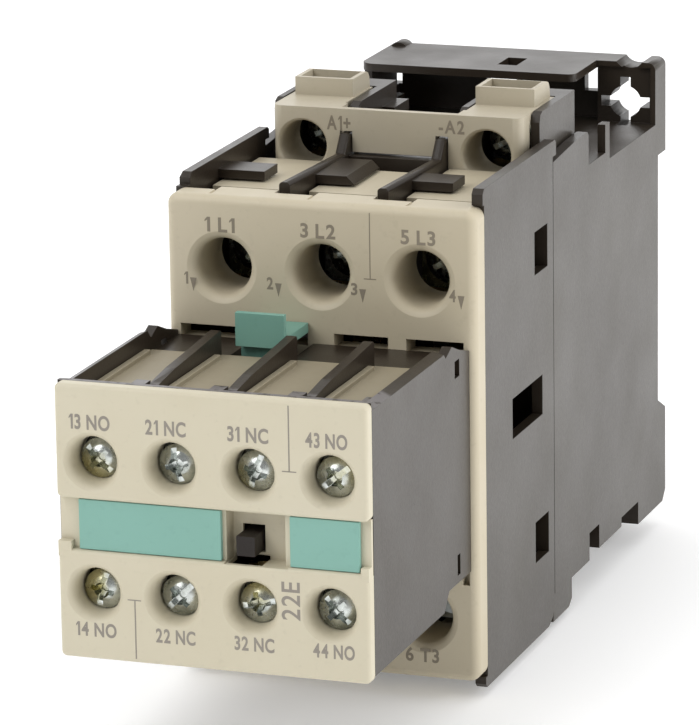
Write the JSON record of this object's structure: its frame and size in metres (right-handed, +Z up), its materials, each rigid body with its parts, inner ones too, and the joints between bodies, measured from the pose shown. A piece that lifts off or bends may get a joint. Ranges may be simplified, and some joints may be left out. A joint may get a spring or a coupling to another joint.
{
  "type": "din rail contactor",
  "caption": "Contactor for a DIN rail with a clip-on auxiliary contact block, spring-loaded contact carriers, screw terminals and a rail clip.",
  "frame": {"origin": "centre line of the DIN rail in the plane of the mounting face, at the middle of the contactor's width", "axes": "+X to the operator's right, -Y out of the front, +Z up"},
  "size_m": [0.045, 0.1367, 0.0786],
  "materials": {
    "cream_plastic": "fine satin, slightly yellowed with age",
    "black_plastic": "matt moulded, scuffed grey on the edges",
    "dark_trim": "matt",
    "teal_plastic": "satin",
    "zinc_steel": "zinc plated, lightly worn",
    "brass": "bright strip",
    "silver_alloy": "satin",
    "core_steel": "ground",
    "coil_former": "matt",
    "copper_wire": "enamelled"
  },
  "bodies": {
    "base": {"rear_housing": "black_plastic", "rail_hooks": "dark_trim", "front_housing": "black_plastic", "front_cover": "cream_plastic", "lower_cheeks": "black_plastic", "coil_terminal_block": "cream_plastic", "lower_terminal_cover": "cream_plastic", "coil_terminal_plates": "brass", "coil_clamp_washers": "zinc_steel", "coil_terminal_screws": "zinc_steel", "line_terminal_screws": "zinc_steel", "load_terminal_screws": "zinc_steel", "line_clamp_washers": "zinc_steel", "load_clamp_washers": "zinc_steel", "line_contact_strips": "brass", "load_contact_strips": "brass", "fixed_contact_tips": "silver_alloy", "magnet_yoke": "core_steel", "coil_bobbin": "coil_former", "coil_winding": "copper_wire", "return_springs": "zinc_steel", "spring_seats": "black_plastic", "aux_housing": "black_plastic", "aux_channel_frame": "cream_plastic", "aux_front_cover": "cream_plastic", "aux_label_left": "teal_plastic", "aux_label_right": "teal_plastic", "aux_upper_strips": "brass", "aux_lower_strips": "brass", "aux_upper_screws": "zinc_steel", "aux_lower_screws": "zinc_steel", "aux_upper_washers": "zinc_steel", "aux_lower_washers": "zinc_steel"},
    "carrier": {"contact_carrier": "black_plastic", "armature": "core_steel", "moving_bridges": "brass", "moving_contact_tips": "silver_alloy", "bridge_springs": "zinc_steel"},
    "aux_carrier": {"aux_carrier": "black_plastic", "aux_bridges": "brass"},
    "latch": {"release_latch": "teal_plastic"},
    "rail_clip": {"rail_clip": "black_plastic"}
  },
  "joints": [
    {"name": "carrier_slide", "type": "slide", "parent": "base", "child": "carrier", "axis": [0, 1, 0], "range_m": [0, 0.005], "stiffness_N_per_m": 300, "springref_m": -0.004, "deforming": ["return_springs"]},
    {"name": "aux_carrier_slide", "type": "slide", "parent": "base", "child": "aux_carrier", "axis": [0, 1, 0], "range_m": [0, 0.005]},
    {"name": "latch_slide", "type": "slide", "parent": "base", "child": "latch", "axis": [0, 0, -1], "range_m": [0, 0.0015], "stiffness_N_per_m": 400, "springref_m": -0.001},
    {"name": "rail_clip_slide", "type": "slide", "parent": "base", "child": "rail_clip", "axis": [0, 0, -1], "range_m": [0, 0.003], "stiffness_N_per_m": 800, "springref_m": -0.001}
  ],
  "couplings": [
    {"joint": "aux_carrier_slide", "follows": "carrier_slide", "ratio": 1}
  ]
}
